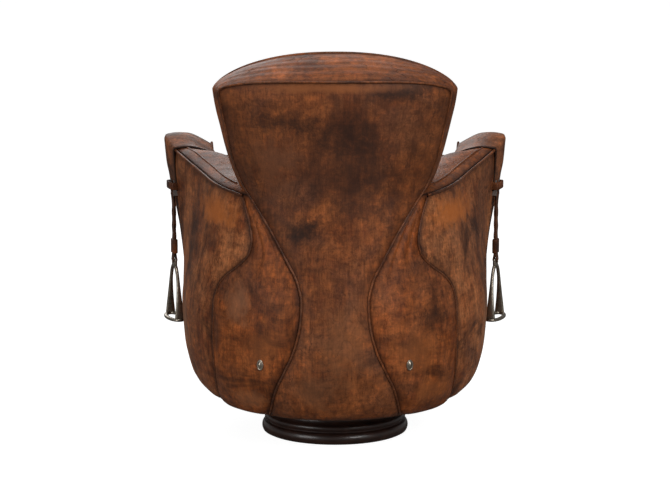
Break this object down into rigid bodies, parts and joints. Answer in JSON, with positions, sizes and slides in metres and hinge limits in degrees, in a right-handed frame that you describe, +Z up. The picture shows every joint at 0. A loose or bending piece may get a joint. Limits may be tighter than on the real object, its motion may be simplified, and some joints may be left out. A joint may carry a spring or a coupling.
{
  "type": "saddle leather swivel armchair",
  "caption": "Swivel armchair covered in saddle leather, with a fan-shaped back panel, saddle-flap sides and a stirrup hung from each arm on a turned wooden base.",
  "frame": {"origin": "centre of the felt disc's underside, on the floor and on the swivel axis", "axes": "+Z up, the sitter faces -Y, +X to the sitter's left"},
  "size_m": [0.861, 0.7812, 0.9297],
  "materials": {
    "leather": "waxed saddle leather, worn to tan on the crowns",
    "dark_leather": "dark burnished leather",
    "nickel": "tarnished nickel plate",
    "dark_wood": "dark stained and polished",
    "plywood": "raw",
    "hardwood": "raw",
    "steel": "zinc plated",
    "felt": "pressed felt",
    "foam": "foam and wadding",
    "cambric": "woven dust cover",
    "nylon": "natural nylon"
  },
  "bodies": {
    "base": {"base_felt": "felt", "base_plinth": "dark_wood", "base_core": "plywood", "base_collar": "dark_wood", "swivel_lower_plate": "steel", "lower_plate_screws": "steel", "swivel_pivot": "steel"},
    "cage": {"ball_cage": "nylon", "swivel_balls": "steel"},
    "strap_left": {"stirrup_leather_left": "dark_leather", "leather_keeper_left": "dark_leather"},
    "iron_left": {"stirrup_iron_left": "nickel"},
    "strap_right": {"stirrup_leather_right": "dark_leather", "leather_keeper_right": "dark_leather"},
    "iron_right": {"stirrup_iron_right": "nickel"},
    "chair": {"arm_band_left": "dark_leather", "arm_band_right": "dark_leather", "arm_pad_left": "leather", "arm_pad_right": "leather", "arm_rail_left": "hardwood", "arm_rail_right": "hardwood", "arm_top_left": "leather", "arm_top_right": "leather", "back_pad": "leather", "back_panel": "leather", "back_piping": "dark_leather", "back_post_left": "hardwood", "back_post_right": "hardwood", "back_rail": "hardwood", "band_keeper_left": "dark_leather", "band_keeper_right": "dark_leather", "bottom_board": "plywood", "crest_rail": "hardwood", "deck_pad": "foam", "dust_cover": "cambric", "flap_left": "leather", "flap_piping_left": "dark_leather", "flap_piping_right": "dark_leather", "flap_right": "leather", "front_apron": "leather", "front_post_left": "hardwood", "front_post_right": "hardwood", "front_rail": "hardwood", "lumbar_rail": "hardwood", "mount_block": "plywood", "saddle_stud_left": "nickel", "saddle_stud_right": "nickel", "seat_cushion": "leather", "seat_ring": "plywood", "seat_springs": "steel", "side_back_panel_left": "leather", "side_back_panel_right": "leather", "side_rail_left": "hardwood", "side_rail_right": "hardwood", "spring_clips": "steel", "strap_hanger_left": "steel", "strap_hanger_right": "steel", "swivel_upper_plate": "steel", "tub_pad": "foam", "upper_plate_screws": "steel"}
  },
  "joints": [
    {"name": "swivel", "type": "hinge", "parent": "base", "child": "chair", "pos_m": [0, 0, 0.0825], "axis": [0, 0, 1], "continuous": true},
    {"name": "cage_turn", "type": "hinge", "parent": "base", "child": "cage", "pos_m": [0, 0, 0.0825], "axis": [0, 0, 1], "continuous": true},
    {"name": "strap_left_swing", "type": "hinge", "parent": "chair", "child": "strap_left", "pos_m": [0.40148, -0.2306, 0.545], "axis": [0.2801, -0.96, 0], "range_deg": [-0.5, 60]},
    {"name": "iron_left_swing", "type": "hinge", "parent": "strap_left", "child": "iron_left", "pos_m": [0.40148, -0.2306, 0.378], "axis": [0.2801, -0.96, 0], "range_deg": [-0.5, 50]},
    {"name": "strap_right_swing", "type": "hinge", "parent": "chair", "child": "strap_right", "pos_m": [-0.40148, -0.2306, 0.545], "axis": [0.2801, 0.96, 0], "range_deg": [-0.5, 60]},
    {"name": "iron_right_swing", "type": "hinge", "parent": "strap_right", "child": "iron_right", "pos_m": [-0.40148, -0.2306, 0.378], "axis": [0.2801, 0.96, 0], "range_deg": [-0.5, 50]}
  ],
  "couplings": [
    {"joint": "cage_turn", "follows": "swivel", "ratio": 0.5}
  ]
}
